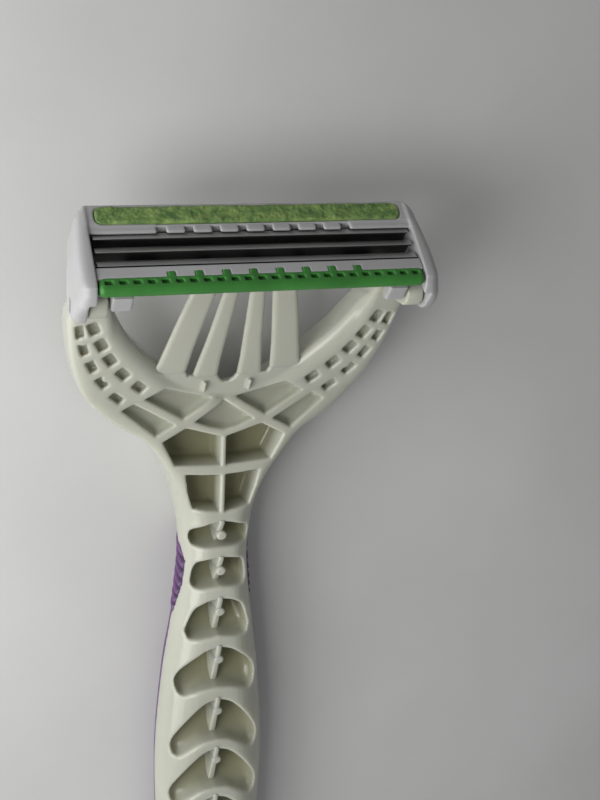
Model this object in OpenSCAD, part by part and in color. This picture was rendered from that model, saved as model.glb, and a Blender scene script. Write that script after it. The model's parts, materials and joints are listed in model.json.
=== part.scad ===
// Three-blade razor with a pivoting head, lying on its back with the blades up.
// X runs across the head, +Y points from the tail to the head, +Z points up.
// Each half of the razor mirrors the other across X = 0.

/* [Handle] */
// Length from the tail to the guard of the head
handle_l = 140; // [130:1:150]
// Thickness of the grip, from its back to the top of its ribs
grip_t = 9; // [8.5:0.1:9.5]
// Widest part of the grip
grip_w = 15.6; // [14.8:0.1:16.4]
// Narrowest part of the neck
neck_w = 9.6; // [9.2:0.1:10]
// Width across the two arms of the yoke
yoke_w = 40.2; // [40:0.1:40.8]
// Angle that the arms rise at, above the handle
arm_rise = 28.6; // [27:0.2:30]
// Thickness of the ribs between the small pockets
rib_t = 0.7; // [0.6:0.05:0.8]
// Depth of the pockets below the ribs
pocket_depth = 6; // [4:0.5:6.5]

/* [Fingers] */
// Width of an outer finger at its root
outer_finger_w = 3.7; // [3.2:0.1:3.8]
// Width of an inner finger at its root
inner_finger_w = 3.1; // [2.6:0.1:3.2]
// Thickness of a finger
finger_t = 0.9; // [0.7:0.05:1.1]

/* [Head] */
// Width of the head across its end walls
head_w = 41.8; // [41.6:0.1:42]
// Angle between the face of the head and the handle
face_tilt = 50; // [48:1:52]
// Height of the guard above the handle's back
guard_z = 24.4; // [24:0.1:24.8]
// Distance between one cutting edge and the next
blade_pitch = 1.78; // [1.7:0.01:1.8]
// Distance between the small pockets of the guard strip
dimple_pitch = 1.5; // [1.45:0.01:1.52]

/* [Pivot] */
// Radius of the pins on the arms
pin_r = 0.8; // [0.7:0.05:0.9]
// Running clearance of the pins in their holes
pin_clear = 0.06; // [0.04:0.01:0.09]

/* [Hidden] */
$fn = 48;
eps = 0.02;

head_front = 10.3 * cos(face_tilt) + 0.05 * sin(face_tilt);   // how far the cap reaches beyond the guard
y_mid = (handle_l - head_front) / 2;    // moves the middle of the length to Y = 0
loop_y = -18.3;                         // bottom of the loop in the yoke
bend_y = -18.5;                         // where the arms start to rise
pivot = [-2.87, 21.6];                  // Y and Z of the head's axis
ledge_z = pivot.y - 2.1;                // flat top of each arm, below the axis
arm_in = 15.3;                          // inner face of an arm near the head
arm_out = 19.25;                        // outer face of an arm near the head
tab_in = 16.95;                         // inner face of the tab that carries the pins
edge_y = 1.98;                          // cutting edge of the first blade, on the face

// Points along a smooth curve through p, with n steps between two points.
function curve(p, n = 6) = [
    for (i = [0:len(p) - 2])
        let (a = p[max(i - 1, 0)], b = p[i], c = p[i + 1], d = p[min(i + 2, len(p) - 1)])
        for (k = [0:n - 1])
            let (t = k / n)
            ((2 * b) + (c - a) * t + (2 * a - 5 * b + 4 * c - d) * t * t
             + (3 * b - a - 3 * c + d) * t * t * t) / 2,
    p[len(p) - 1]
];

function flip(p) = [for (i = [len(p) - 1:-1:0]) [-p[i].x, p[i].y]];

// Height of the top of the handle and of its arms.
function top_z(y) = grip_t + max(0, y - bend_y) * tan(arm_rise);

module placed() {
    translate([0, y_mid, 0])
        children();
}

// Puts a solid drawn as (across, up the face, out of the face) onto the head.
module on_face() {
    placed()
        translate([0, 0, guard_z])
            rotate([-face_tilt, 0, 0])
                children();
}

// A bar along X whose section is given in Y and Z.
module bar(x0, x1) {
    translate([x0, 0, 0])
        rotate([90, 0, 90])
            linear_extrude(x1 - x0)
                children();
}

module both_sides() {
    children();
    mirror([1, 0, 0])
        children();
}

// ---- Handle -------------------------------------------------------------

// Right edge of the handle from the arm to the tail.
side_edge = curve([
    [yoke_w / 2 - 0.2, -3.4], [yoke_w / 2, -7], [yoke_w / 2 - 0.9, -13], [17.2, -18.2], [13.6, -21.7],
    [10.4, -23.8], [8.4, -26.2], [6.7, -30], [5.6, -34], [neck_w / 2, -40.5], [5.15, -46],
    [5.9, -52], [6.95, -60], [grip_w / 2, -71], [7.6, -84], [6.9, -98], [6.4, -112], [6.7, -124],
    [6.9, -131], [5.9, 4.2 - handle_l], [3.4, 0.9 - handle_l], [0, -handle_l]
], 3);

// Right edge of the loop, from its middle to the end of the arm.
loop_side = curve([[0, loop_y], [4.9, -16.9], [8.9, -13.6], [12.9, -9.1], [15.2, -4.8], [15.6, -3.4]], 3);

module handle_plan() {
    polygon(concat(side_edge, flip(side_edge), flip(loop_side), loop_side));
}

// The arms and the grip seen from the side, without the ends of the arms.
module handle_side() {
    heel = [[-handle_l - 1, 2.2], [-136, 0.3], [-133, 0], [-127, 0]];
    back = curve([[-127, 0], [-112, 0.6], [-86, 1.0], [-60, 1.0], [-42, 0.6], [-31, 0]], 4);
    tail = curve([[bend_y, grip_t], [-100, grip_t], [-124, 8.6], [-136, 7.4], [-handle_l - 1, 5.6]], 4);
    polygon(concat(
        heel,
        [for (p = back) [p.x, max(p.y, 0)]],
        [[-23.8, 0], [-22, 0.9], [-7, top_z(-7) - 6.2], [-4.4, 11.2], [-3.4, 14.5], [-1.9, ledge_z],
         [-4.9, ledge_z], [-5.1, 18], [-5.8, 16.6], [-7, top_z(-7)]],
        tail));
}

// Section across the grip: crowned over the ribs and rounded along the back.
module grip_section() {
    w = grip_w / 2;
    right = curve([[0, grip_t], [3, grip_t - 0.25], [5.6, grip_t - 1.5], [7.1, grip_t - 3.2], [w, grip_t - 5],
                   [7.4, 2], [6, 0.5], [4, 0], [0, 0]], 3);
    polygon(concat(right, flip(right)));
}

module handle_blank() {
    intersection() {
        linear_extrude(30)
            handle_plan();
        bar(-25, 25)
            handle_side();
        union() {
            translate([0, -42, 0])
                rotate([90, 0, 0])
                    linear_extrude(handle_l)
                        grip_section();
            translate([-25, -42, 0])
                cube([50, 50, 30]);
        }
    }
}

// Cuts straight down from above to pocket_depth below the ribs.
module pocket(y, depth = pocket_depth) {
    translate([0, 0, top_z(y) - depth])
        linear_extrude(depth + 12)
            children();
}

// A row of small pockets down one arm: [across, along, turned].
inner_row = [[17.2, -7.6, 66], [16.1, -9.9, 60], [14.9, -12.1, 54], [13.2, -14.3, 46], [11.0, -16.4, 40]];
outer_row = [[18.7, -8.0, 80], [18.1, -10.4, 72], [17.0, -12.9, 62], [15.6, -15.4, 52], [13.6, -17.9, 42]];

module arm_pockets() {
    for (p = inner_row)
        pocket(p.y, 4)
            translate([p.x, p.y])
                rotate(p.z)
                    square([1.75, 1.3], center = true);
    for (p = outer_row)
        pocket(p.y, 4)
            translate([p.x, p.y])
                rotate(p.z)
                    square([1.9, 1.15], center = true);
}

// The wide pockets where the arms meet: between crossing ribs.
module root_pockets() {
    pocket(bend_y)
        polygon([[1.5, -18.9], [7.7, -17.0], [10.0, -18.4], [5.3, -21.3]]);
    pocket(bend_y)
        polygon([[6.4, -22.0], [11.4, -19.0], [12.9, -19.7], [8.7, -23.3]]);
    pocket(bend_y)
        polygon([[rib_t / 2, -24], [4.9, -22.6], [7.8, -24.2], [6.2, -27.5], [rib_t / 2, -27.8]]);
    pocket(bend_y)
        polygon([[rib_t / 2, -29.2], [4.8, -28.9], [4.4, -31.4], [3.7, -33.8], [rib_t / 2, -34.3]]);
}

boss_r = 0.7;

// Right half of each grip pocket, from the top of its arch to the middle of its foot.
neck_pockets = [
    [[0, -35.8], [1.4, -36], [3.3, -36.9], [3.7, -37.8], [3.6, -38.8], [2.9, -39.3], [0, -39.3]],
    [[0, -40.9], [1.4, -41.1], [2.7, -41.6], [3.2, -42.4], [3.5, -44.2], [3.2, -45], [0, -45]],
    [[0, -46.9], [1.6, -47.3], [2.9, -48.1], [3.5, -49.2], [4.1, -51.3], [3.9, -52.4], [0, -52.3]],
    [[0, -54.1], [1.6, -54.5], [3.2, -55.7], [4.8, -57.5], [5.8, -59.2], [5.7, -60.8], [4.6, -61.9], [0, -60.3]]
];
arch = [[0, 0], [1.8, -0.6], [3.6, -2.4], [5.1, -4.8], [6, -6.9], [5.8, -8.5], [4.6, -8.6], [2.4, -7], [0, -6.3]];
arch_pitch = 7.8;
arch_count = 8;
grip_pockets = concat(
    neck_pockets,
    [for (i = [0:arch_count - 1])
        let (narrow = 1 - 0.02 * i)
        [for (p = arch) [p.x * narrow, p.y - 62.1 - arch_pitch * i]]]
);

module arched_pocket(p) {
    polygon(concat(curve(p, 2), flip(curve(p, 2))));
}

// The fin in a pocket: full height at its top and down to the floor at its foot.
module fin(p) {
    drop = pocket_depth;
    top = p[0].y;
    foot = p[len(p) - 1].y;
    bar(-rib_t / 2, rib_t / 2)
        polygon([[top + 0.3, grip_t], [top + 0.3, grip_t - drop - 0.3],
                 [foot - 0.3, grip_t - drop - 0.3], [foot + 0.4, grip_t - drop + 0.6],
                 [top - 1.8, grip_t]]);
    translate([0, top - 1.4, grip_t - drop - 0.3])
        cylinder(r = boss_r, h = drop + 0.3, $fn = 32);
}

// All the pockets of the neck and the grip, each with its fin left standing.
module grip_cuts() {
    for (p = grip_pockets)
        difference() {
            pocket(bend_y)
                arched_pocket(p);
            fin(p);
        }
}

// Thin shelf that the fingers grow from, just below the top of the yoke.
module finger_shelf() {
    intersection() {
        linear_extrude(30)
            polygon(concat(
                [[0, -19.6], [9.5, -16.5], [11.5, -14.2], [9.1, -14.9], [5.4, -14.9], [4.9, -15.7], [4.3, -15.5],
                 [1.2, -15.5], [0.7, -16.4]],
                flip([[0, -19.6], [9.5, -16.5], [11.5, -14.2], [9.1, -14.9], [5.4, -14.9], [4.9, -15.7],
                      [4.3, -15.5], [1.2, -15.5], [0.7, -16.4]])));
        bar(-12, 12)
            polygon([[-19.6, finger_top(-19.6)], [-13, finger_top(-13)],
                     [-13, finger_top(-13) - finger_t / cos(arm_rise)],
                     [-19.6, finger_top(-19.6) - finger_t / cos(arm_rise)]]);
    }
}

// The end of one arm, with the tab and its two pins.
module arm_end() {
    bar(tab_in, arm_out - 0.05) {
        translate(pivot)
            circle(r = 1.6);
        polygon([[pivot.x - 1.6, pivot.y], [pivot.x + 1.6, pivot.y], [-2.6, ledge_z - 1], [-4.4, ledge_z - 1]]);
    }
    translate([arm_in - 0.5, pivot.x, pivot.y])
        rotate([0, 90, 0])
            cylinder(r = pin_r, h = head_w / 2 - 0.25 - arm_in + 0.5);
}

module handle() {
    color("#e4e3d6") placed() {
        difference() {
            handle_blank();
            both_sides() {
                arm_pockets();
                root_pockets();
                arm_slimming();
            }
            pocket(bend_y)
                polygon([[0, -19.3], [3.7, -21.8], [1.8, -22.6], [0, -23], [-1.8, -22.6], [-3.7, -21.8]]);
            grip_cuts();
            sleeve_blank();
        }
        finger_shelf();
        both_sides()
            arm_end();
    }
}

// Takes the arms down to arm_in and arm_out where they stand up to the head.
module arm_slimming() {
    translate([arm_out, -6.2, 17.2])
        cube([5, 10, 10]);
    translate([arm_in - 5, -6.2, 17.2])
        cube([5, 10, 10]);
}

// ---- Soft sleeve on the back of the grip ---------------------------------

sleeve_t = 1.5;
sleeve_top = grip_t - 5;

// The space of the sleeve: the grip's back half, and a cheek up each side of the neck.
module sleeve_blank() {
    intersection() {
        handle_blank();
        difference() {
            translate([-10, -130, -1])
                cube([20, 82, sleeve_top + 1]);
            translate([0, -48, 0])
                rotate([90, 0, 0])
                    linear_extrude(90)
                        polygon([[-5.9, sleeve_top + 1], [-5.9, 3], [-4.6, sleeve_t + 0.7],
                                 [4.6, sleeve_t + 0.7], [5.9, 3], [5.9, sleeve_top + 1]]);
        }
    }
}

// One cheek: a pointed pad on the side of the neck, wider toward the grip.
module cheek() {
    difference() {
        intersection() {
            translate([0, 0, 1.6])
                linear_extrude(grip_t - 4)
                    polygon(curve([[3.8, -36.4], [5.1, -38.4], [5.15, -42], [5.6, -48], [4.6, -48.6]], 3));
            bar(0, 8)
                polygon(curve([[-36, 5.4], [-39, 6.2], [-43, 6.2], [-48.4, 4.4], [-48.4, 2],
                               [-43, 3.2], [-39, 4.2], [-36, 5.2]], 3));
        }
        linear_extrude(12)
            polygon(concat([[0, -30]], [for (p = side_edge) if (p.y > -50 && p.y < -32) p], [[0, -50]]));
    }
}

module grip_sleeve() {
    color("#7b4f94") placed() {
        sleeve_blank();
        both_sides()
            cheek();
    }
}

// ---- Fingers ---------------------------------------------------------------

finger_gap = 0.15;                      // rest clearance to the back of the head
function finger_top(y) = top_z(y) - 0.9;

// Fingers 1 and 4 are the outer pair, 2 and 3 the inner pair.
// The root is on the shelf and the tip reaches the back of the head.
module finger(side, outer) {
    root_x = outer ? 7.25 : 2.75;
    root_y = outer ? -14.9 : -15.5;
    root_w = outer ? outer_finger_w : inner_finger_w;
    tip_x = outer ? 3.6 : 1.05;
    tip_w = outer ? 2.6 : 1.6;
    slope = tan(arm_rise);
    t = finger_t / cos(arm_rise);
    color("#e2e1d4") placed() difference() {
        intersection() {
            linear_extrude(30)
                polygon([[side * (root_x - root_w / 2), root_y], [side * (root_x + root_w / 2), root_y],
                         [side * (tip_x + tip_w / 2), 1.5], [side * (tip_x - tip_w / 2), 1.5]]);
            bar(-12, 12)
                polygon([[-16, finger_top(-16)], [1.5, finger_top(1.5)], [1.5, finger_top(1.5) - t],
                         [-16, finger_top(-16) - t]]);
            // The tip is cut square to the back of the head.
            translate([0, 0, guard_z])
                rotate([-face_tilt, 0, 0])
                    translate([-12, -30, -40 + base_back - finger_gap])
                        cube([24, 60, 40]);
        }
        // The arms take the outer corner of an outer finger.
        linear_extrude(30)
            handle_plan();
    }
}

// ---- Head, drawn as (across, up the face, out of the face) -----------------

// The axis of the head, seen from the face.
axis_v = pivot.x * cos(face_tilt) - (pivot.y - guard_z) * sin(face_tilt);
axis_n = pivot.x * sin(face_tilt) + (pivot.y - guard_z) * cos(face_tilt);
base_back = -4.2;                       // back of the base
base_w = 36.8;                          // width between the end walls
cap_top = 10.3;                         // far edge of the cap
wing_in = 19.35;                        // inner face of the thin wings beside the arms
lug_in = 14.5;                          // inner face of the base's own lugs
lug_out = 16.8;                         // outer face of the base's own lugs
arm_room = 5;                           // how far up the face the arms may swing

// The space that the arms need, behind the guard.
module arm_space() {
    both_sides()
        translate([lug_in - 0.1, -4, -8])
            cube([wing_in - lug_in + 0.1, arm_room + 4, 8 - 1.9]);
}

module pivot_holes() {
    translate([-head_w, axis_v, axis_n])
        rotate([0, 90, 0])
            cylinder(r = pin_r + pin_clear, h = 2 * head_w);
}

module head_base() {
    x = base_w / 2;
    color("#e9ebec") on_face()
        difference() {
            union() {
                difference() {
                    // Tray with the guard wall in front and a low wall under the cap.
                    bar(-x, x)
                        polygon([[-0.6, -1.3], [-0.5, -1.7], [1.5, base_back], [cap_top - 0.7, base_back],
                                 [cap_top - 0.4, base_back + 0.5], [cap_top - 0.4, -1.1], [8, -1.1], [8, -3.2],
                                 [edge_y - 0.1, -3.2], [edge_y - 0.1, -0.1], [1.75, 0], [0.6, 0], [0.5, -0.1],
                                 [0.5, -1.3]]);
                    arm_space();
                    // Rinse windows in the back, with a solid rail for the fingers between them.
                    for (i = [-2.5:2.5]) {
                        translate([i * 5.6 - 2.2, 5.9, base_back - 1])
                            cube([4.4, 2, 4]);
                        if (abs(i) < 2.5)
                            translate([i * 5.6 - 2.2, 2.3, base_back - 1])
                                cube([4.4, 1.5, 4]);
                    }
                    guard_teeth(0.02);
                }
                both_sides()
                    bar(lug_in, lug_out) {
                        translate([axis_v - 1.25, axis_n + 0.1])
                            square([2.5, -1.9 - axis_n + eps - 0.1]);
                    }
            }
            pivot_holes();
        }
}

// The cover is one frame: the cap over the blades and an end wall down each side.
module end_wall() {
    x = head_w / 2;
    wall = curve([[-0.6, 0], [1, 0.3], [8.6, 0.35], [9.9, 0.1], [10.4, -0.8], [10.3, -3.6], [9.4, -4.2],
                  [5, -4.5]], 4);
    difference() {
        bar(base_w / 2 + 0.05, x)
            polygon(concat([[-1.3, -0.8], [-1.8, -2]], [[axis_v - 1.9, axis_n]],
                           [for (a = [200:20:300]) [axis_v + 2 * cos(a), axis_n + 2 * sin(a)]],
                           [for (i = [len(wall) - 1:-1:0]) wall[i]]));
        arm_space();
        // The outer side leans in toward the face, with a bevel along its rim.
        translate([0, 15, 0])
            rotate([90, 0, 0])
                linear_extrude(30)
                    polygon([[x - 1.5, 0.6], [x - 0.9, -0.5], [x, -4], [x + 1, -4], [x + 1, 0.6]]);
    }
}

block_pitch = 2 * dimple_pitch;
block_w = 2.1;
block_n = -0.34;                        // underside of the blocks, just clear of the last blade

module cap_bar() {
    x = base_w / 2 + 0.1;
    // Long bar with a groove for the lubricating strip.
    difference() {
        bar(-x, x)
            polygon([[7.2, 0.05], [7.2, -1], [cap_top, -1], [cap_top + 0.1, -0.6], [cap_top, 0.05],
                     [cap_top - 0.3, 0.2], [7.4, 0.2]]);
        strip_shape(strip_l + 0.1, strip_w + 0.1, -0.5, 2);
    }
    // Blocks that reach over the last blade.
    for (k = [-3:3])
        translate([k * block_pitch - block_w / 2, 6.35, block_n])
            cube([block_w, 1, 0.05 - block_n]);
    both_sides()
        translate([3.5 * block_pitch + 0.45, 6.35, block_n])
            cube([x - 3.5 * block_pitch - 0.45, 1, 0.05 - block_n]);
}

module head_cover() {
    color("#eceef0") on_face()
        difference() {
            union() {
                both_sides()
                    end_wall();
                cap_bar();
            }
            pivot_holes();
        }
}

// Soft guard strip: a rounded roll with small pockets, and teeth up into the guard bar.
tooth_w = 0.85;

module guard_teeth(clear = 0) {
    for (k = [-3.5:3.5])
        translate([k * block_pitch - tooth_w / 2 - clear, 0.4, -0.9])
            cube([tooth_w + 2 * clear, 0.85 + clear, 1.2]);
}

module guard_strip() {
    color("#3f9a44") on_face() {
        difference() {
            bar(-base_w / 2 + 0.1, base_w / 2 - 0.1)
                polygon(concat([[0.48, -1.28], [0.48, 0]], [[-0.4, 0.08]],
                               [for (a = [100:20:220]) [-0.4 + 0.8 * cos(a), -0.7 + 0.78 * sin(a)]],
                               [[-0.64, -1.4], [-0.62, -1.28]]));
            for (k = [-11.5:11.5])
                translate([k * dimple_pitch - 0.4, -0.4, -0.5])
                    cube([0.8, 0.75, 2]);
        }
        intersection() {
            guard_teeth();
            translate([-20, 0.48, -0.88])
                cube([40, 2, 0.9]);
        }
    }
}

strip_l = 34.8;
strip_w = 2.35;

// A flat bar with round ends, on the cap.
module strip_shape(l, w, n0, h) {
    translate([0, 8.68, n0])
        linear_extrude(h)
            union() {
                square([l - w, w], center = true);
                for (s = [-1, 1])
                    translate([s * (l - w) / 2, 0])
                        circle(d = w);
            }
}

module lubricating_strip() {
    color("#8fae6d") on_face()
        strip_shape(strip_l, strip_w, -0.5, 0.85);
}

// ---- Blades ----------------------------------------------------------------

blade_l = 36.2;
blade_angle = 24;                       // slope of a blade below the face
blade_t = 0.1;
support_t = 0.25;

// Sections start at the cutting edge and run back and down.
module on_blade(i) {
    on_face()
        translate([0, edge_y + i * blade_pitch, -0.03])
            children();
}

module blade(i) {
    color("#b9bcc0") on_blade(i)
        bar(-blade_l / 2, blade_l / 2)
            rotate(-blade_angle)
                polygon([[0, 0], [0.22, 0.03], [1.1, 0.03], [1.1, 0.03 - blade_t], [0.22, 0.03 - blade_t]]);
}

// A bent strip: a sloped seat under the blade and a leg down to the base.
module blade_support(i) {
    color("#9a9ea3") on_blade(i)
        bar(-blade_l / 2, blade_l / 2) {
            rotate(-blade_angle)
                translate([0.35, 0.03 - blade_t - support_t])
                    square([0.75, support_t]);
            translate([1.0 * cos(blade_angle) - 0.18, -3.17])
                square([support_t, 2.5]);
        }
}

handle();
grip_sleeve();
finger(-1, true);  // finger_1
finger(-1, false);  // finger_2
finger(1, false);  // finger_3
finger(1, true);  // finger_4
head_base();
head_cover();
guard_strip();
lubricating_strip();
blade(0);  // blade_1
blade(1);  // blade_2
blade(2);  // blade_3
blade_support(0);  // blade_support_1
blade_support(1);  // blade_support_2
blade_support(2);  // blade_support_3
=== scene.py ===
import json
import math

import bmesh
import bpy
import numpy as np
from mathutils import Matrix, Vector, noise


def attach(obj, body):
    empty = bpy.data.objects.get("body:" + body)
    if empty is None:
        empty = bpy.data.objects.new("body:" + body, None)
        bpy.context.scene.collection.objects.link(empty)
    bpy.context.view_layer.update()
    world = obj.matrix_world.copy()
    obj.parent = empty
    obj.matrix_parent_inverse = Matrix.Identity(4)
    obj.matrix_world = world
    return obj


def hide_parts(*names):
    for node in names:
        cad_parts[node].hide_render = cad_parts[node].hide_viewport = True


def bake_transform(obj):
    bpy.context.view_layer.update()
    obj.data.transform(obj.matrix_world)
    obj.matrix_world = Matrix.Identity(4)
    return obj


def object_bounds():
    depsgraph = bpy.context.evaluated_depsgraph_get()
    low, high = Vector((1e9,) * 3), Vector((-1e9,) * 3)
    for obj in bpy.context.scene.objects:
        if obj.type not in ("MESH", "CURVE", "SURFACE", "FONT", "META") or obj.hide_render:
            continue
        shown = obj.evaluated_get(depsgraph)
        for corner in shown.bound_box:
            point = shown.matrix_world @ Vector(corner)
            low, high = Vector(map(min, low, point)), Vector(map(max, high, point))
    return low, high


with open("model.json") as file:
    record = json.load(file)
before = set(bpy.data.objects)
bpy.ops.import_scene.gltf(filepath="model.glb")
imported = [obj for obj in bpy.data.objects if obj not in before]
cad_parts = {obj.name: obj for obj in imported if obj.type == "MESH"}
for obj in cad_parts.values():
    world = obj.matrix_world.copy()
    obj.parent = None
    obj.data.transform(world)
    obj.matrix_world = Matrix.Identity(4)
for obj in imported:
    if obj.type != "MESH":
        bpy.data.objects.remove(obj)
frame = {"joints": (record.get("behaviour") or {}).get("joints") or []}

cad_box = [list(corner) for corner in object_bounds()]

# ---- Handle -----------------------------------------------------------------------------
# One injection moulding in milky off-white plastic, cored out from the top into pockets
# between thin ribs. Every rim is slightly round and every pocket has soft corners, so the
# shape is a distance field in millimetres, laid out from the guard's small pockets.

pivot = Vector(frame["joints"][0]["pos_m"]) * 1000
axis_back = 2.87                        # the head's axis lies this far behind those pockets
axis_drop = 2.8                         # and this far below them
start_y = pivot.y + axis_back
guard_z = pivot.z + axis_drop
rib_top = 9                             # top of the ribs of the grip
bend_y = -18.5                          # the arms rise from here to the head
arm_slope = math.tan(math.radians(28.6))
step = 0.2                              # spacing of the lattice that the shape is skinned from


def curve(points, steps=6):
    """A smooth line through the points."""
    p = [np.array(q, float) for q in points]
    line = []
    for i in range(len(p) - 1):
        a, b, c, d = p[max(i - 1, 0)], p[i], p[i + 1], p[min(i + 2, len(p) - 1)]
        for t in np.arange(steps) / steps:
            line.append((2 * b + (c - a) * t + (2 * a - 5 * b + 4 * c - d) * t ** 2
                         + (3 * b - a - 3 * c + d) * t ** 3) / 2)
    return line + [p[-1]]


def mirrored(points):
    """The same line on the other side, run backward so that it joins on."""
    return [np.array((-q[0], q[1])) for q in reversed(points)]


def polygon(points, x, y):
    """Distance to a closed outline, below zero inside it."""
    far = np.full(np.broadcast(x, y).shape, 1e9, np.float32)
    inside = np.zeros(far.shape, bool)
    for i in range(len(points)):
        ax, ay = (float(v) for v in points[i - 1])
        bx, by = (float(v) for v in points[i])
        ex, ey = bx - ax, by - ay
        along = np.clip(((x - ax) * ex + (y - ay) * ey) / (ex * ex + ey * ey + 1e-9), 0, 1)
        far = np.minimum(far, (x - ax - ex * along) ** 2 + (y - ay - ey * along) ** 2)
        if ay != by:
            inside ^= ((ay > y) != (by > y)) & (x < ex * (y - ay) / ey + ax)
    return np.where(inside, -1, 1).astype(np.float32) * np.sqrt(far)


def rectangle(x, y, at, size, turn=0.0, r=0.25):
    """Distance to a turned rectangle with corners of radius r."""
    c, s = math.cos(math.radians(turn)), math.sin(math.radians(turn))
    u = np.abs((x - at[0]) * c + (y - at[1]) * s) - size[0] / 2 + r
    v = np.abs((y - at[1]) * c - (x - at[0]) * s) - size[1] / 2 + r
    return np.sqrt(np.maximum(u, 0) ** 2 + np.maximum(v, 0) ** 2) + np.minimum(np.maximum(u, v), 0) - r


def both(a, b, r=0.3):
    """What is inside both shapes, with the edge between them rounded."""
    h = np.maximum(r - np.abs(a - b), 0)
    return np.maximum(a, b) + h * h / (4 * r)


def either(a, b, r=0.3):
    """What is inside one of the shapes, with a fillet of size r."""
    h = np.maximum(r - np.abs(a - b), 0)
    return np.minimum(a, b) - h * h / (4 * r)


def ramp(value, low, high):
    """Goes smoothly from 0 at low to 1 at high."""
    t = np.clip((value - low) / (high - low), 0, 1)
    return t * t * (3 - 2 * t)


def skin(name, field, axes, place, keep=1.0):
    """Surface of the field as a mesh of squares, each corner put by place()."""
    inside = field < 0
    cells, points, rings = [], [], []
    for a in range(3):
        b, c = (a + 1) % 3, (a + 2) % 3
        first, second = [slice(None)] * 3, [slice(None)] * 3
        first[a], second[a] = slice(0, -1), slice(1, None)
        low = np.argwhere(inside[tuple(first)] != inside[tuple(second)])
        high = low.copy()
        high[:, a] += 1
        f0, f1 = field[tuple(low.T)], field[tuple(high.T)]
        point = np.stack([axes[k][low[:, k]] for k in range(3)], 1)
        point[:, a] += f0 / (f0 - f1) * (axes[a][high[:, a]] - axes[a][low[:, a]])
        ring = []
        for db, dc in ((-1, -1), (0, -1), (0, 0), (-1, 0)):
            cell = low.copy()
            cell[:, b] += db
            cell[:, c] += dc
            ring.append(np.ravel_multi_index(cell.T, field.shape))
        ring = np.stack(ring, 1)
        cells.append(ring.ravel())
        points.append(np.repeat(point, 4, 0))
        rings.append(np.where((f0 < 0)[:, None], ring, ring[:, ::-1]))
    cells, rings = np.concatenate(cells), np.concatenate(rings)
    points = np.concatenate(points)
    used, index = np.unique(cells, return_inverse=True)
    count = np.bincount(index)
    corners = np.stack([np.bincount(index, points[:, k]) / count for k in range(3)], 1)
    faces = np.searchsorted(used, rings)
    return plain_mesh(name, place(corners), faces, keep)


def plain_mesh(name, corners, faces, keep=1.0):
    mesh = bpy.data.meshes.new(name)
    mesh.vertices.add(len(corners))
    mesh.vertices.foreach_set("co", np.asarray(corners, np.float32).ravel())
    mesh.loops.add(faces.size)
    mesh.loops.foreach_set("vertex_index", faces.astype(np.int32).ravel())
    mesh.polygons.add(len(faces))
    mesh.polygons.foreach_set("loop_start", np.arange(len(faces), dtype=np.int32) * faces.shape[1])
    mesh.update(calc_edges=True)
    obj = bpy.data.objects.new(name, mesh)
    bpy.context.scene.collection.objects.link(obj)
    if keep < 1:
        thin = obj.modifiers.new("thin", "DECIMATE")
        thin.ratio = keep
        obj = baked(obj)
    obj.data.polygons.foreach_set("use_smooth", np.ones(len(obj.data.polygons), bool))
    return obj


def baked(obj):
    """The same object with its modifiers made part of a plain mesh."""
    shown = obj.evaluated_get(bpy.context.evaluated_depsgraph_get())
    mesh = bpy.data.meshes.new_from_object(shown)
    obj.modifiers.clear()
    obj.data = mesh
    return obj


def paint(obj, material):
    """Gives obj the material, and an attribute that says how sharply each corner stands out."""
    mesh = obj.data
    count = len(mesh.vertices)
    co, normal, ends = np.zeros(count * 3), np.zeros(count * 3), np.zeros(len(mesh.edges) * 2, int)
    mesh.vertices.foreach_get("co", co)
    mesh.vertex_normals.foreach_get("vector", normal)
    mesh.edges.foreach_get("vertices", ends)
    co, normal, ends = co.reshape(-1, 3), normal.reshape(-1, 3), ends.reshape(-1, 2)
    along = co[ends[:, 1]] - co[ends[:, 0]]
    along /= np.linalg.norm(along, axis=1)[:, None] + 1e-12
    out = np.zeros(count)
    for side, sign in ((0, -1), (1, 1)):
        out += np.bincount(ends[:, side], sign * np.sum(along * normal[ends[:, side]], 1), count)
    out /= np.maximum(np.bincount(ends.ravel(), minlength=count), 1)
    sharp = np.clip(out * 2.5, 0, 1).astype(np.float32)
    mesh.attributes.new("edge", "FLOAT", "POINT").data.foreach_set("value", sharp)
    mesh.materials.clear()
    mesh.materials.append(material)


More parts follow.
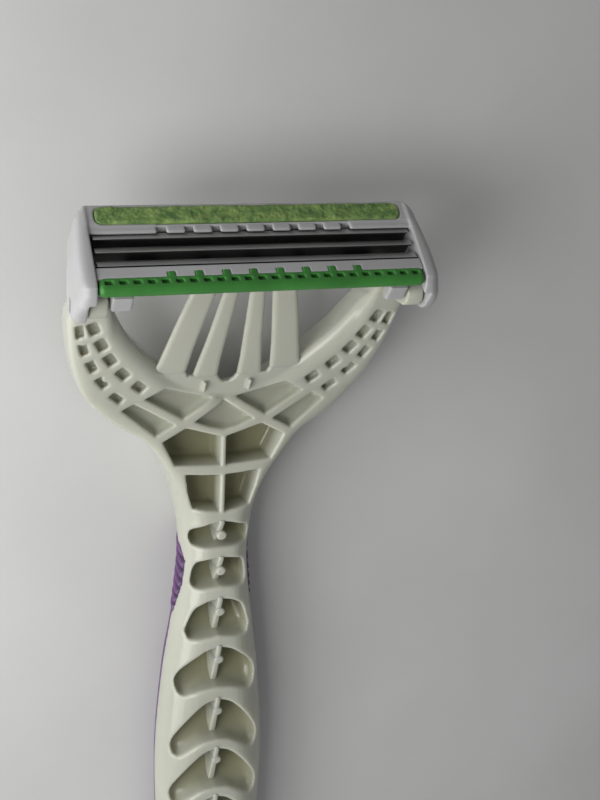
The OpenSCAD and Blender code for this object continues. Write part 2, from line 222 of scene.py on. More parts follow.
def surface(name, low, high, scale, roughness, bump=0.1, grain=900, wear=0.3, worn=None, metal=0.0, soft=0.0,
            stretch=(1, 1, 1)):
    """Material whose colour drifts between low and high, whose roughness varies, and whose edges are worn."""
    material = bpy.data.materials.new(name)
    material.use_nodes = True
    tree = material.node_tree
    make, link = tree.nodes.new, tree.links.new
    shader = tree.nodes["Principled BSDF"]
    shader.inputs["Metallic"].default_value = metal
    shader.inputs["IOR"].default_value = 1.48
    if soft:
        shader.inputs["Subsurface Weight"].default_value = soft
        shader.inputs["Subsurface Radius"].default_value = (1.0, 0.9, 0.6)
        shader.inputs["Subsurface Scale"].default_value = 0.0025
    place, turn = make("ShaderNodeTexCoord"), make("ShaderNodeMapping")
    turn.inputs["Scale"].default_value = stretch
    link(place.outputs["Object"], turn.inputs["Vector"])
    drift, fine = make("ShaderNodeTexNoise"), make("ShaderNodeTexNoise")
    ramp_, edge = make("ShaderNodeValToRGB"), make("ShaderNodeAttribute")
    drift.inputs["Scale"].default_value, drift.inputs["Detail"].default_value = scale, 4
    fine.inputs["Scale"].default_value, fine.inputs["Detail"].default_value = grain, 3
    for texture in (drift, fine):
        link(turn.outputs["Vector"], texture.inputs["Vector"])
    ramp_.color_ramp.elements[0].position, ramp_.color_ramp.elements[1].position = 0.32, 0.68
    ramp_.color_ramp.elements[0].color, ramp_.color_ramp.elements[1].color = (*low, 1), (*high, 1)
    link(drift.outputs["Fac"], ramp_.inputs["Fac"])
    edge.attribute_name = "edge"
    part, mix = make("ShaderNodeMath"), make("ShaderNodeMix")
    part.operation = "MULTIPLY"
    part.inputs[1].default_value = wear
    link(edge.outputs["Fac"], part.inputs[0])
    mix.data_type = "RGBA"
    link(part.outputs[0], mix.inputs["Factor"])
    link(ramp_.outputs["Color"], mix.inputs["A"])
    mix.inputs["B"].default_value = (*(worn or high), 1)
    link(mix.outputs["Result"], shader.inputs["Base Color"])
    rough = make("ShaderNodeMapRange")
    rough.inputs["To Min"].default_value, rough.inputs["To Max"].default_value = roughness[0], roughness[1]
    link(fine.outputs["Fac"], rough.inputs["Value"])
    link(rough.outputs["Result"], shader.inputs["Roughness"])
    raised = make("ShaderNodeBump")
    raised.inputs["Strength"].default_value, raised.inputs["Distance"].default_value = bump, 0.0002
    link(fine.outputs["Fac"], raised.inputs["Height"])
    link(raised.outputs["Normal"], shader.inputs["Normal"])
    return material


def shaded(obj, material, name, values, tint):
    """Paints shade into the material's colour: multiplies it by tint where the named attribute of obj is
    high.
    """
    obj.data.attributes.new(name, "FLOAT", "POINT").data.foreach_set("value", values.astype(np.float32))
    tree = material.node_tree
    where, mix = tree.nodes.new("ShaderNodeAttribute"), tree.nodes.new("ShaderNodeMix")
    where.attribute_name = name
    mix.data_type, mix.blend_type = "RGBA", "MULTIPLY"
    mix.inputs["B"].default_value = (*tint, 1)
    colour = tree.nodes["Principled BSDF"].inputs["Base Color"]
    tree.links.new(colour.links[0].from_socket, mix.inputs["A"])
    tree.links.new(where.outputs["Fac"], mix.inputs["Factor"])
    tree.links.new(mix.outputs["Result"], colour)


def on_handle(p):
    """From the handle's millimetres to the frame of the whole razor."""
    return (p + (0, start_y, 0)) / 1000


def top_z(y):
    """Height of the ribs' tops: level along the grip, rising along the arms."""
    return rib_top + np.maximum(0, y - bend_y) * arm_slope


def below_rim(y, z):
    """Depth below the sloping plane of the arms' tops."""
    return rib_top + (y - bend_y) * arm_slope - z


side_edge = curve([(19.9, -3.4), (20.1, -7), (19.2, -13), (17.2, -18.2), (13.6, -21.7), (10.4, -23.8),
                   (8.4, -26.2), (6.7, -30), (5.6, -34), (4.8, -40.5), (5.15, -46), (5.9, -52),
                   (6.95, -60), (7.8, -71), (7.6, -84), (6.9, -98), (6.4, -112), (6.7, -124),
                   (6.9, -131), (5.9, -135.8), (3.4, -139.1), (0, -140)], 4)
loop_side = curve([(0, -18.3), (4.9, -16.9), (8.9, -13.6), (12.9, -9.1), (15.2, -4.8), (15.6, -3.4),
                   (15.6, 6)], 4)
axes = [np.arange(0, 21.3, step),
        np.concatenate([np.arange(-141.5, -82, 2 * step), np.arange(-82, 0.8, step)]),
        np.arange(-1, 25.2, step)]
x2, y2 = axes[0][:, None], axes[1][None, :]
x, y, z = (a.astype(np.float32) for a in np.ix_(*axes))

outline = polygon([(30, -3.4)] + side_edge + mirrored(side_edge) + [(-30, -3.4), (-30, 9), (30, 9)], x2, y2)
outline = np.maximum(outline, polygon(side_edge + mirrored(side_edge) + [(-19.9, 9), (19.9, 9)], x2, y2))
loop = polygon(loop_side + mirrored(loop_side), x2, y2)
arm_top = [(-150, rib_top), (bend_y, rib_top), (-7, 9 + 11.5 * arm_slope), (-5.8, 16.6), (-5.1, 18),
           (-4.9, 19.5)]
arm_back = [(-1.9, 19.5), (-3.4, 14.5), (-4.4, 11.2), (-7, 2.8 + 11.5 * arm_slope), (-22, 0.9),
            (-23.8, 0)]
grip_back = curve([(-31, 0), (-42, 0.6), (-60, 1), (-86, 1), (-112, 0.6), (-127, 0)], 4)
grip_back += [(-133, 0), (-150, 0)]
side_view = polygon(arm_top + arm_back + grip_back, axes[1][:, None], axes[2][None, :]).astype(np.float32)
half_width = np.interp(-axes[1], [-q[1] for q in side_edge], [q[0] for q in side_edge])
half_width = np.maximum(half_width, 4.5)[None, :, None].astype(np.float32)
section = curve([(0, 9), (3, 8.75), (5.6, 7.5), (7.1, 5.8), (7.8, 4), (7.1, 2), (5.4, 0.6), (3.4, 0)], 3)
section += [(0, 0)]
across = np.linspace(0, 60, 601)
section = polygon(section + [(-5, 0), (-5, 9)], across[:, None], axes[2][None, :]).astype(np.float32)

# The smooth band beside the loop falls away toward it.
band = np.maximum(0, 1 - np.maximum(loop, 0) / 2.7) ** 2 * 1.5 * ramp(-x2, -16.2, -14.5)
yoke = both(outline[:, :, None].astype(np.float32), side_view[None], 1.5)
yoke = both(yoke, z - (top_z(y2) - band)[:, :, None].astype(np.float32), 0.7)
yoke = both(yoke, -loop[:, :, None].astype(np.float32), 0.5)
neck = ramp(-y, 28, 36) * ramp(y, -58, -48)
spot = np.clip(x * 78 / (half_width * (1 - 0.14 * neck * ramp(-z, -5, 0))), 0, 599.99)
whole = spot.astype(np.int32)
rows = np.arange(len(axes[2]))[None, None, :]
grip = section[whole, rows] + (section[whole + 1, rows] - section[whole, rows]) * (spot - whole)
grip = grip * np.clip(half_width / 7.8, 0.65, 1)
grip = both(grip, both(side_view[None], outline[:, :, None], 1.2), 0.8)
mix = ramp(-y, 25, 37)
handle = (yoke * (1 - mix) + grip * mix).astype(np.float32)
grip_only = grip.astype(np.float32)
del yoke, spot, whole

# Pockets, in plan: two rows down each arm, wide ones where the arms meet, arched ones down the grip.
small_depth, shallow_depth, wide_depth, arched_depth = 1.5, 1.9, 4.4, 6
arched_rise = 2.2                       # the floor of an arched pocket rises this far toward the tail
arch_pitch, arch_count = 7.8, 8
inner_row = ((17.2, -7.6, 66), (16.1, -9.9, 60), (14.9, -12.1, 54), (13.2, -14.3, 46), (11.0, -16.4, 40))
outer_row = ((18.7, -8.0, 80), (18.1, -10.4, 72), (17.0, -12.9, 62), (15.6, -15.4, 52), (13.6, -17.9, 42))
small = np.full(outline.shape, 9.0)
for row, size in ((inner_row, (1.65, 1.25)), (outer_row, (1.75, 0.95))):
    for px, py, turn in row:
        small = np.minimum(small, rectangle(x2, y2, (px, py), size, turn, 0.2))
for px, py in ((18.25, -9.25), (17.55, -11.7), (15.0, -14.75), (16.35, -14.2)):
    small = np.maximum(small, 0.62 - np.hypot(x2 - px, y2 - py))
wide, shallow = np.full(outline.shape, 9.0), np.full(outline.shape, 9.0)
for shape in ([(1.5, -18.9), (7.7, -17.0), (10.0, -18.4), (5.3, -21.3)],
              [(6.4, -22.0), (11.4, -19.0), (12.9, -19.7), (8.7, -23.3)],
              [(0.35, -24), (4.9, -22.6), (7.8, -24.2), (6.2, -27.5), (0.35, -27.8)],
              [(0.35, -29.2), (4.8, -28.9), (4.4, -31.4), (3.7, -33.8), (0.35, -34.3)],
              [(0, -19.3), (3.7, -21.8), (1.8, -22.6), (0, -23), (-1.8, -22.6), (-3.7, -21.8)]):
    if shape[0][0] == 0.35:
        wide = np.minimum(wide, polygon(shape, x2, y2))
    else:
        shallow = np.minimum(shallow, polygon(shape, x2, y2))
grip_pockets = [
    [(0, -35.8), (1.4, -36), (3.4, -36.9), (3.85, -37.8), (3.7, -38.9), (3, -39.3), (0, -39.3)],
    [(0, -40.9), (1.4, -41.05), (2.7, -41.5), (3.3, -42.4), (3.6, -44.4), (3.4, -45.1), (2.6, -45.3),
     (0, -45)],
    [(0, -46.9), (1.6, -47.2), (2.9, -48.1), (3.5, -49.2), (4.2, -51.4), (4.1, -52.2), (3.5, -52.8),
     (0, -52.3)],
    [(0, -54.1), (1.6, -54.5), (3.2, -55.7), (4.7, -57.4), (5.4, -58.8), (5.5, -59.9), (5.1, -61),
     (4.4, -61.3), (3.4, -60.9), (1.8, -60.4), (0, -60.2)]]
arch = [(0, 0), (1.8, -0.6), (3.6, -2.4), (5.2, -4.8), (5.9, -6.3), (6.1, -7.4), (5.85, -8.3), (5.3, -8.7),
        (4.6, -8.4), (3.4, -7.5), (1.8, -6.6), (0, -6.3)]
for i in range(arch_count):
    top = -62.1 - arch_pitch * i
    width = float(np.interp(-top + 6, [-q[1] for q in side_edge], [q[0] for q in side_edge])) / 7.75
    grip_pockets.append([(a * width, top + b) for a, b in arch])
depth = (top_z(y) - z).astype(np.float32)
handle = both(handle, -both(small[:, :, None].astype(np.float32), depth - small_depth, 0.3), 0.3)
handle = both(handle, -both(shallow[:, :, None].astype(np.float32), depth - shallow_depth, 0.8), 0.35)
handle = both(handle, -both(wide[:, :, None].astype(np.float32), depth - wide_depth, 0.8), 0.35)
arched = np.full(outline.shape, 9.0)
for shape in grip_pockets:
    near = slice(*np.searchsorted(axes[1], (shape[-1][1] - 6, shape[0][1] + 2)))
    plan = polygon(curve(shape, 3) + curve(mirrored(shape), 3), x2, y2[:, near])
    arched[:, near] = np.minimum(arched[:, near], plan)
    rise = arched_rise * np.clip((shape[0][1] - y[:, near]) / (shape[0][1] - shape[-1][1]), 0, 1.2)
    hole = both(plan[:, :, None].astype(np.float32), depth[:, near] - arched_depth + rise, 1.6)
    handle[:, near] = both(handle[:, near], -hole, 0.45)

# The shelf behind the fingers, then the tab and its two pins at the end of each arm.
pin_r, pin_room = 0.8, 0.86
shelf_plan = [(0, -19.4), (8.5, -17), (11.6, -13.4), (9.2, -14.6), (8.8, -14.6), (5.4, -14.6), (5.0, -15.4),
              (4.4, -15.4), (1.25, -15.4), (0.9, -16.1), (0.35, -16.55)]
shelf = polygon(shelf_plan + mirrored(shelf_plan), x2, y2)[:, :, None].astype(np.float32)
below = below_rim(y, z).astype(np.float32)
handle = either(handle, both(shelf, np.abs(below - 1.35) - 0.45, 0.25), 0.4)
nub = np.maximum(np.abs(x - 2.85) - 0.22, np.maximum(np.abs(y + 17.1) - 0.75, np.abs(below - 0.9) - 0.75))
handle = either(handle, nub, 0.3)
tab = polygon([(-4.47, pivot.z), (-1.27, pivot.z), (-2.6, 18.3), (-2.8, 16.9), (-4.6, 16.9), (-4.4, 18.3)],
              axes[1][:, None], axes[2][None, :])[None]
tab = np.maximum(np.abs(x - 18.05) - 1.0, np.minimum(np.hypot(y + axis_back, z - pivot.z) - 1.6, tab))
handle = both(handle, -both(both(np.abs(x - 22.3) - 3.05, -y - 6.2, 0.1), 17.2 - z, 0.1), 0.3)
handle = np.minimum(handle, tab)
pin = np.maximum(np.hypot(y + axis_back, z - pivot.z) - pin_r, np.abs(x - 17.45) - 2.6)
handle = np.minimum(handle, pin).astype(np.float32)

# Room for the soft sleeve round the back of the grip.
rim = np.interp(-y, [34, 38, 39, 40.5, 42, 45.5, 49.6, 50.8, 60, 128, 130.5],
                [-3, -3, 2.5, 4.9, 6.0, 5.8, 4.6, 3.9, 3.6, 3.6, -3])
sleeve_room = np.maximum(z - rim, -grip_only - 0.5).astype(np.float32)
handle = both(handle, -sleeve_room, 0.15)

axes_full = [np.concatenate([-axes[0][:0:-1], axes[0]]), axes[1], axes[2]]
body = skin("handle_body_visual", np.concatenate([handle[:0:-1], handle]), axes_full, on_handle, 0.42)

# Milky plastic. Painted shade: the pockets' colour is darkened toward olive near their floors, where light is
# lost in them.
ivory = surface("ivory_plastic", (0.45, 0.46, 0.385), (0.51, 0.52, 0.44), scale=40, roughness=(0.16, 0.28),
                bump=0.03, grain=700, wear=0.35, worn=(0.66, 0.67, 0.60), soft=0.3)
paint(body, ivory)
corners = np.array([v.co for v in body.data.vertices]) * 1000 - (0, start_y, 0)
spots = tuple(np.clip(np.searchsorted(a, q), 0, len(a) - 1)
              for a, q in zip(axes, (np.abs(corners[:, 0]), corners[:, 1])))
# Painted shade: the plastic's colour is multiplied toward dark olive down in the pockets.
in_pocket = 1 - ramp(np.minimum.reduce((small, wide, shallow, arched))[spots], -0.1, 0.35)
painted_pocket_shade = in_pocket * ramp(top_z(corners[:, 1]) - corners[:, 2], 0.4, 5.5)
shaded(body, ivory, "painted_pocket_shade", painted_pocket_shade, (0.55, 0.52, 0.34))
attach(body, "handle_body")
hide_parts("handle")

# ---- Fins in the grip pockets -----------------------------------------------------------
# Moulded in one with the handle: a thin rib hangs from the head side of each grip pocket,
# full height at that web and sloping to the far side, with a round ejector boss half way.
# One fin and one boss are skinned, then repeated down the grip and stretched to each pocket.

def slab(name, shape, size, low, high, place=on_handle, keep=1.0):
    """Skins shape(x, y, z) between two corners, in steps of size."""
    axes = [np.arange(a, b + size, size) for a, b in zip(low, high)]
    x, y, z = np.ix_(*axes)
    return skin(name, np.asarray(shape(x, y, z), np.float32) + 0 * (x + y + z), axes, place, keep)


def in_metres(p):
    return p / 1000


def repeated(name, points, stretch, shapes):
    """One tree that puts each shape on every point, the first of them stretched along Y."""
    mesh = bpy.data.meshes.new(name)
    mesh.from_pydata([tuple(q) for q in points], [], [])
    mesh.attributes.new("stretch", "FLOAT", "POINT").data.foreach_set("value", stretch)
    obj = bpy.data.objects.new(name, mesh)
    bpy.context.scene.collection.objects.link(obj)
    tree = bpy.data.node_groups.new(name + "_tree", "GeometryNodeTree")
    tree.interface.new_socket("Geometry", in_out="INPUT", socket_type="NodeSocketGeometry")
    tree.interface.new_socket("Geometry", in_out="OUTPUT", socket_type="NodeSocketGeometry")
    inputs = [tree.interface.new_socket("Shape " + str(k + 1), in_out="INPUT", socket_type="NodeSocketObject")
              for k in range(len(shapes))]
    size = tree.interface.new_socket("Size", in_out="INPUT", socket_type="NodeSocketFloat")
    size.default_value = 1.0
    make, link = tree.nodes.new, tree.links.new
    start, end = make("NodeGroupInput"), make("NodeGroupOutput")
    join, real = make("GeometryNodeJoinGeometry"), make("GeometryNodeRealizeInstances")
    colour = make("GeometryNodeSetMaterial")
    colour.inputs["Material"].default_value = shapes[0].data.materials[0]
    pull = make("GeometryNodeInputNamedAttribute")
    pull.inputs["Name"].default_value = "stretch"
    pulled = [socket for socket in pull.outputs if socket.enabled and socket.name == "Attribute"][0]
    for k in range(len(shapes)):
        info, put = make("GeometryNodeObjectInfo"), make("GeometryNodeInstanceOnPoints")
        scale = make("ShaderNodeCombineXYZ")
        link(start.outputs["Shape " + str(k + 1)], info.inputs["Object"])
        link(start.outputs["Geometry"], put.inputs["Points"])
        link(info.outputs["Geometry"], put.inputs["Instance"])
        for socket in ("X", "Y", "Z"):
            link(start.outputs["Size"], scale.inputs[socket])
        if k == 0:
            link(pulled, scale.inputs["Y"])
        link(scale.outputs[0], put.inputs["Scale"])
        link(put.outputs[0], join.inputs[0])
    link(join.outputs[0], real.inputs[0])
    link(real.outputs[0], colour.inputs["Geometry"])
    link(colour.outputs[0], end.inputs[0])
    nodes = obj.modifiers.new("repeat", "NODES")
    nodes.node_group = tree
    for k, shape in enumerate(shapes):
        nodes[inputs[k].identifier] = shape
    nodes[size.identifier] = 1.0
    obj.data.update()
    baked(obj)
    for shape in shapes:
        bpy.data.objects.remove(shape)
    return obj


fin_foot = -6.3                         # just under the floor of the pocket
fin_slope = 0.42                        # fall of the top edge toward the tail
boss_y = -2.1


def fin_shape(x, y, z):
    ends = np.maximum(np.abs(y + 3.05) - 3.55, (z - fin_slope * y) * 0.92)
    side = np.maximum(np.maximum(z + 0.05, fin_foot - z), ends)
    return both(np.abs(x) - 0.34 + 0.035 * z, side, 0.25)


def boss_shape(x, y, z):
    ends = np.maximum(z + 0.6 - 0.2 * (y - boss_y), fin_foot - z)
    return both(np.hypot(x - 0.15, y - boss_y) - 0.66, ends, 0.3)


fin = slab("fin", fin_shape, 0.12, (-0.9, -7.1, -6.6), (0.9, 0.9, 0.4), in_metres, 0.3)
boss = slab("boss", boss_shape, 0.1, (-0.9, -3.1, -6.6), (1.2, -1.1, 0), in_metres, 0.3)
for piece in (fin, boss):
    paint(piece, ivory)
tops = [p[0][1] for p in grip_pockets]
longs = [p[0][1] - p[-1][1] for p in grip_pockets]
fins = repeated("handle_fins", [(0, (top + start_y) / 1000, rib_top / 1000) for top in tops],
                [long / 6.2 for long in longs], [fin, boss])
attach(fins, "handle_body")
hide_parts("handle")

# ---- Soft sleeve ------------------------------------------------------------------------
# A second moulding of purple rubber over the back of the grip. It climbs each side of the
# neck as a pointed pad with slanting ridges, then runs to the tail as a narrow edge.

purple = surface("purple_rubber", (0.095, 0.045, 0.125), (0.135, 0.062, 0.17), scale=300,
                 roughness=(0.45, 0.6), bump=0.2, grain=2500, wear=0.4, worn=(0.36, 0.22, 0.46))
ridge_pitch, ridge_height = 1.5, 0.24
near = axes[1] < -33
sy = axes[1][near][None, :, None].astype(np.float32)
outside = grip_only[:, near]


def ridges(y, z):
    """Height of the slanting ridges of the pad, from -0.6 in a groove to 1."""
    wave = np.clip(np.sin(2 * np.pi * (y + 0.47 * z) / ridge_pitch), -0.6, 1)
    return wave * ramp(-y, 38, 39) * ramp(y, -50.5, -49)


sleeve = both(outside - 0.02 - ridge_height * ridges(sy, z), z - rim[:, near] + 0.05, 0.3)
sleeve = np.maximum(sleeve, -outside - 0.45)
sleeve_axes = [axes_full[0], axes[1][near], axes[2]]
sleeve = skin("sleeve_visual", np.concatenate([sleeve[:0:-1], sleeve]), sleeve_axes, on_handle, 0.6)
paint(sleeve, purple)
corners = np.array([v.co for v in sleeve.data.vertices]) * 1000 - (0, start_y, 0)
# Painted shade: the grooves between the ridges are darkened with this tint.
shaded(sleeve, purple, "groove", ramp(-ridges(corners[:, 1], corners[:, 2]), -0.1, 0.5), (0.35, 0.30, 0.38))
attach(sleeve, "handle_body")
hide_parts("grip_sleeve")

# ---- Fingers ----------------------------------------------------------------------------
# Four flat springs of the handle's own plastic that fan in to the back of the head. They
# lie just below the rim of the yoke, and on the razor they bend with the head; each one is
# cut off where it meets the back of the head.

tilt = math.radians(50)                 # the head's face leans this far from the handle
for number, side, outer in ((1, -1, True), (2, -1, False), (3, 1, False), (4, 1, True)):
    if outer:
        plan = [(4.4, -17.4), (5.3, -14.9), (4.75, -11), (2.4, 1.5), (5.0, 1.5), (7.3, -7), (8.9, -13.4),
                (10.4, -16.2)]
    else:
        plan = [(0.9, -17.4), (1.2, -15.6), (1.2, -13), (0.35, 1.5), (1.85, 1.5), (3.4, -10), (4.3, -15),
                (4.7, -17.4)]
    plan = [(side * q[0], q[1]) for q in plan]

    def finger_shape(x, y, z):
        flat = polygon(plan, x[:, :, 0], y[:, :, 0])[:, :, None]
        bar = both(flat, np.abs(below_rim(y, z) - 1.4) - 0.48, 0.55)
        head_back = y * math.sin(tilt) + (z - 24.4) * math.cos(tilt) + 4.33
        return np.maximum(bar, head_back)

    low = (min(q[0] for q in plan) - 0.6, -18, 6.5)
    high = (max(q[0] for q in plan) + 0.6, 2, 22)
    finger = slab(f"finger_{number}_visual", finger_shape, 0.16, low, high)
    paint(finger, ivory)
    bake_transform(finger)
    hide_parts(f"finger_{number}")

# ---- Head cover -------------------------------------------------------------------------
# White frame moulded in one: a cap over the last blade and a rounded wall down each end.
# It is laid out across, up the face and out of the face, from the guard's small pockets.

white = surface("white_plastic", (0.40, 0.40, 0.395), (0.46, 0.46, 0.465), scale=80, roughness=(0.30, 0.45),
                bump=0.06, grain=1200, wear=0.4, worn=(0.66, 0.66, 0.67), soft=0.1)
tooth_pitch = 3.0                       # of the cap's blocks and of the guard's teeth


def on_face(p):
    """From the face's millimetres (across, up, out) to the frame of the whole razor."""
    v, n = p[:, 1], p[:, 2]
    return np.stack([p[:, 0], v * math.cos(tilt) + n * math.sin(tilt) + start_y,
                     guard_z - v * math.sin(tilt) + n * math.cos(tilt)], 1) / 1000


axis_v = -axis_back * math.cos(tilt) + axis_drop * math.sin(tilt)
axis_n = -axis_back * math.sin(tilt) - axis_drop * math.cos(tilt)
face_axes = [np.arange(0, 22.2, 0.12), np.arange(-3.2, 11.5, 0.1), np.arange(-6.8, 1.3, 0.1)]
fx, fv, fn = (a.astype(np.float32) for a in np.ix_(*face_axes))


def profile(points):
    return polygon(points, face_axes[1][:, None], face_axes[2][None, :]).astype(np.float32)[None]


def face_skin(name, field, keep=1.0):
    full = [np.concatenate([-face_axes[0][:0:-1], face_axes[0]])] + face_axes[1:]
    return skin(name, np.concatenate([field[:0:-1], field]).astype(np.float32), full, on_face, keep)


def block(x, v, n, at, size, r=0.2):
    q = [np.abs(a - c) - s / 2 for a, c, s in zip((x, v, n), at, size)]
    return both(both(q[0], q[1], r), q[2], r)


ear = [(axis_v + 2 * math.cos(math.radians(a)), axis_n + 2 * math.sin(math.radians(a)))
       for a in range(200, 301, 20)]
wall = profile([(-1.3, -0.8), (-1.8, -2), (axis_v - 2, axis_n)] + ear + [(5, -4.6), (9.6, -4.3), (10.3, -3.6)]
               + curve([(10.45, -0.8), (9.9, 0.1), (8.6, 0.35), (1.2, 0.3), (-0.6, 0)], 4))
arm_room = block(fx, fv, fn, (16.85, 0.5, -4.9), (4.9, 9, 6.1), 0.3)
# The walls lean out toward the back, most of all beside the axis.
outer = fx - 20.25 + 0.6 * ramp(fv, 2, 10.4) - ramp(-fn, 0.2, 3.8) * (0.4 + 0.3 * ramp(-fv, -9, -1))
cover = both(both(wall, outer, 1.3), 18.45 - fx, 0.2)
cover = both(cover, (fx + fv) * 0.7071 - 20.75, 1.0)
cover = both(cover, (fx - fv) * 0.7071 - 14.75 + 0.5 * fn, 0.8)
cover = both(cover, -arm_room, 0.2)
cap = profile([(7.2, 0.05), (7.2, -1.05), (10.1, -1.05), (10.4, -0.6), (10.25, 0.05), (9.9, 0.22),
               (7.5, 0.22)])
cap = both(cap, fx - 18.6, 0.1)
stadium = rectangle(fx, fv, (0, 8.68), (35.2, 2.4), 0, 0.9)
cap = both(cap, -both(stadium, -0.5 - fn, 0.15), 0.25)
ends = block(fx, fv, fn, (14.8, 7.0, -0.13), (7.4, 1.1, 0.42), 0.25)
cover = either(either(cover, cap, 0.35), ends, 0.2)
cover = both(cover, pin_room - np.hypot(fv - axis_v, fn - axis_n), 0.1)
cover = face_skin("cover_visual", cover, 0.7)

tooth = slab("block", lambda x, v, n: block(x, v, n, (0, 7.0, -0.13), (2.12, 1.1, 0.42), 0.28),
             0.06, (-1.3, 6.2, -0.6), (1.3, 7.7, 0.4), in_metres)
for piece in (cover, tooth):
    paint(piece, white)
blocks = repeated("cover_blocks", [(tooth_pitch * k / 1000, 0, 0) for k in range(-3, 4)], [1.0] * 7, [tooth])
corners = np.array([v.co for v in blocks.data.vertices]) * 1000
blocks.data.vertices.foreach_set("co", on_face(corners).astype(np.float32).ravel())
for piece in (cover, blocks):
    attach(piece, "head_body")
    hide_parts("head_cover")

# ---- Head base --------------------------------------------------------------------------
# White tray that holds the blades: the guard bar in front, rinse windows through the back
# and two lugs that the handle's pins turn in.

base = profile([(-0.6, -1.3), (-0.5, -1.7), (1.5, -4.2), (9.6, -4.2), (9.9, -3.7), (9.9, -1.1), (8, -1.1),
                (8, -3.2), (2.0, -3.2), (2.0, -0.1), (1.88, 0), (0.62, 0.02), (0.5, -0.1), (0.5, -1.3)])
base = both(base, fx - 18.4, 0.15)
base = both(base, -arm_room, 0.15)
for i in (0.5, 1.5, 2.5):
    base = both(base, -block(fx, fv, fn, (i * 5.6, 6.9, -3.8), (4.4, 2, 3)), 0.15)
    if i < 2:
        base = both(base, -block(fx, fv, fn, (i * 5.6, 3.05, -3.8), (4.4, 1.5, 3)), 0.15)
for k in range(4):
    base = np.maximum(base, -block(fx, fv, fn, ((k + 0.5) * tooth_pitch, 0.8, -0.3), (0.9, 0.9, 1.2), 0.1))
lug = np.maximum(np.abs(fv - axis_v) - 1.25, np.abs(fn + 2.8) - 1.1)
base = either(base, both(lug, np.abs(fx - 15.65) - 1.15, 0.3), 0.2)
base = both(base, pin_room - np.hypot(fv - axis_v, fn - axis_n), 0.1)
base = face_skin("base_visual", base, 0.8)
paint(base, white)
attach(base, "head_body")
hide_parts("head_base")

# ---- Guard strip ------------------------------------------------------------------------
# Green rubber roll moulded onto the front of the base, with a row of small square pockets
# that grip the skin and eight teeth that run up between the blocks of the guard bar.

green = surface("green_rubber", (0.03, 0.165, 0.024), (0.045, 0.225, 0.036), scale=250, roughness=(0.38, 0.5),
                bump=0.15, grain=1800, wear=0.45, worn=(0.12, 0.42, 0.10))
front = [(-0.4 + 0.8 * math.cos(math.radians(a)), -0.68 + 0.8 * math.sin(math.radians(a)))
         for a in range(100, 231, 20)]
roll = profile([(0.58, -1.3), (0.58, 0.02), (-0.4, 0.12)] + front + [(-0.65, -1.35)])
roll = both(roll, fx - 18.32, 0.7)
for k in range(12):
    roll = both(roll, -block(fx, fv, fn, (0.75 + 1.5 * k, -0.06, 0.2), (0.8, 0.55, 1.3), 0.15), 0.12)
for k in range(4):
    tooth = block(fx, fv, fn, ((k + 0.5) * tooth_pitch, 0.8, -0.4), (0.86, 0.95, 0.92), 0.15)
    roll = either(roll, tooth, 0.1)
roll = face_skin("guard_visual", roll, 0.8)
paint(roll, green)
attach(roll, "head_body")
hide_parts("guard_strip")

# ---- Lubricating strip ------------------------------------------------------------------
# Green water-soluble strip pressed into the groove of the cap. It has been wetted and
# dried many times, so its top has swollen into soft lumps and its colour is patchy.

moss = surface("swollen_strip", (0.075, 0.17, 0.045), (0.24, 0.35, 0.10), scale=900, roughness=(0.5, 0.75),
               bump=0.8, grain=2200, wear=0.5, worn=(0.42, 0.55, 0.22), stretch=(0.6, 1, 1))
strip = slab("strip_visual", lambda x, v, n: both(rectangle(x, v, (0, 8.68), (35.1, 2.34), 0, 0.85),
                                                 np.abs(n + 0.06) - 0.44, 0.35),
             0.12, (-18, 7.2, -0.8), (18, 10.2, 0.8), np.array)
corners = np.array([v.co for v in strip.data.vertices])
for p in corners:
    if p[2] > 0:
        q = Vector(p)
        p[2] += 0.13 * noise.noise(q * 0.9) + 0.07 * noise.noise(q * 2.7) + 0.03 * noise.noise(q * 6)
strip.data.vertices.foreach_set("co", on_face(corners).astype(np.float32).ravel())
strip.data.update()
paint(strip, moss)
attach(strip, "head_body")
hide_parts("lubricating_strip")

# ---- Blades -----------------------------------------------------------------------------
# Three thin steel strips, each ground to an edge and welded to a bent steel support that
# stands in the base. They lie one behind another, sloping down into the head.

def drawn(name, section, x0, x1, cuts, material):
    """A strip of metal with that section (up the face, out of the face), closed at its ends."""
    across = np.linspace(x0, x1, cuts)
    corners = np.array([(x, v, n) for x in across for v, n in section])
    k = len(section)
    sides = [(i * k + j, i * k + (j + 1) % k, (i + 1) * k + (j + 1) % k, (i + 1) * k + j)
             for i in range(cuts - 1) for j in range(k)]
    mesh = bpy.data.meshes.new(name)
    mesh.from_pydata([tuple(q) for q in on_face(corners)],
                     [], sides + [tuple(range(k))[::-1], tuple(range((cuts - 1) * k, cuts * k))])
    obj = bpy.data.objects.new(name, mesh)
    bpy.context.scene.collection.objects.link(obj)
    bm = bmesh.new()
    bm.from_mesh(mesh)
    bmesh.ops.recalc_face_normals(bm, faces=bm.faces)
    bm.to_mesh(mesh)
    bm.free()
    bevel = obj.modifiers.new("bevel", "BEVEL")
    bevel.width, bevel.segments, bevel.limit_method = 0.00002, 2, "ANGLE"
    baked(obj)
    paint(obj, material)
    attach(obj, "head_body")
    return obj


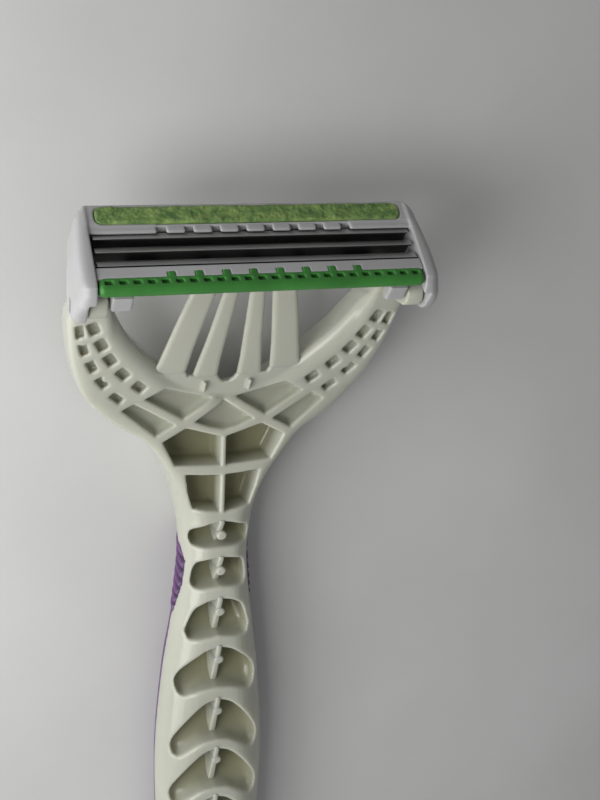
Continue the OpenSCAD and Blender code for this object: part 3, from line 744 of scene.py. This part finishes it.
steel = surface("blade_steel", (0.30, 0.30, 0.30), (0.44, 0.44, 0.44), scale=400, roughness=(0.25, 0.45),
                bump=0.1, grain=3000, wear=0.6, worn=(0.8, 0.8, 0.8), metal=1.0, stretch=(0.05, 1, 1))
# The supports are coloured nearly black: partly painted shade of the deep slots between the blades, partly
# the hair clogged in them.
shade_and_hair_steel = surface("support_steel_painted_shade_and_hair", (0.02, 0.02, 0.02), (0.05, 0.05, 0.05), scale=400, roughness=(0.4, 0.6),
                     bump=0.1, grain=3000, wear=0.4, worn=(0.12, 0.12, 0.12), metal=0.6, stretch=(0.05, 1, 1))
slope = math.radians(-24)
half_length = 18.1
first_edge, blade_pitch = 2.1, 1.78
ground_edge = [(0, 0.002), (0.12, 0.018), (0.24, 0.03), (1.1, 0.03), (1.1, -0.07), (0.24, -0.07),
               (0.12, -0.035)]
for i in range(3):
    edge = np.array((first_edge + blade_pitch * i, -0.03))

    def turned(points):
        return [(edge[0] + a * math.cos(slope) - b * math.sin(slope),
                 edge[1] + a * math.sin(slope) + b * math.cos(slope)) for a, b in points]

    blade = drawn(f"blade_{i + 1}_visual", turned(ground_edge), -half_length, half_length, 40, steel)
    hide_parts(f"blade_{i + 1}")
    seat = turned([(0.35, -0.07), (0.35, -0.32), (0.82, -0.32)])
    leg = edge[0] + math.cos(slope)
    seat += [(leg - 0.18, -1.0), (leg - 0.18, -3.15), (leg + 0.07, -3.15), (leg + 0.07, -0.85)]
    seat += turned([(1.12, -0.3), (1.1, -0.07)])
    support = drawn(f"blade_support_{i + 1}_visual", seat, -half_length, half_length, 40, shade_and_hair_steel)
    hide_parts(f"blade_support_{i + 1}")

# ---- Floor, light and camera ------------------------------------------------------------
# A pale matt tabletop, lit from the left by a soft lamp above and a long low window, with a
# weak wide light from beyond the tail. The camera looks down on the head from its left.

def look_at(obj, target, roll=0.0):
    turn = (Vector(target) - obj.location).to_track_quat("-Z", "Y").to_matrix()
    obj.rotation_euler = (turn @ Matrix.Rotation(math.radians(roll), 3, "Z")).to_euler()


bpy.ops.mesh.primitive_plane_add(size=3.0, location=(0, 0, cad_box[0][2] - 0.0001))
floor = bpy.context.object
floor.name = "floor"
paint(floor, surface("tabletop", (0.60, 0.60, 0.585), (0.66, 0.66, 0.65), scale=25, roughness=(0.45, 0.6),
                     bump=0.05, grain=1500, wear=0.0))

camera = bpy.data.objects.new("camera", bpy.data.cameras.new("camera"))
bpy.context.scene.collection.objects.link(camera)
camera.location = (-0.0395, 0.0955, 0.1443)
look_at(camera, (0.00978, 0.04692, 0.009), roll=133.85)
camera.data.sensor_fit = "HORIZONTAL"
camera.data.sensor_width = 36
camera.data.lens = 72
camera.data.clip_start = 0.005
bpy.context.scene.camera = camera
bpy.context.scene.view_settings.view_transform = "Standard"

for name, place, size, height, energy in (("key_light", (-0.105, 0.045, 0.14), 0.07, None, 0.105),
                                          ("window_light", (-0.15, 0.045, 0.08), 0.28, 0.08, 0.26),
                                          ("fill_light", (0.02, -0.30, 0.16), 0.25, None, 0.10)):
    light = bpy.data.objects.new(name, bpy.data.lights.new(name, "AREA"))
    bpy.context.scene.collection.objects.link(light)
    light.location = place
    light.data.size = size
    light.data.energy = energy
    if height:
        light.data.shape = "RECTANGLE"
        light.data.size_y = height
    look_at(light, (0, 0.05, 0.01))

world = bpy.data.worlds.new("world")
bpy.context.scene.world = world
world.use_nodes = True
world.node_tree.nodes["Background"].inputs[0].default_value = (0.8, 0.8, 0.82, 1)
world.node_tree.nodes["Background"].inputs[1].default_value = 0.24
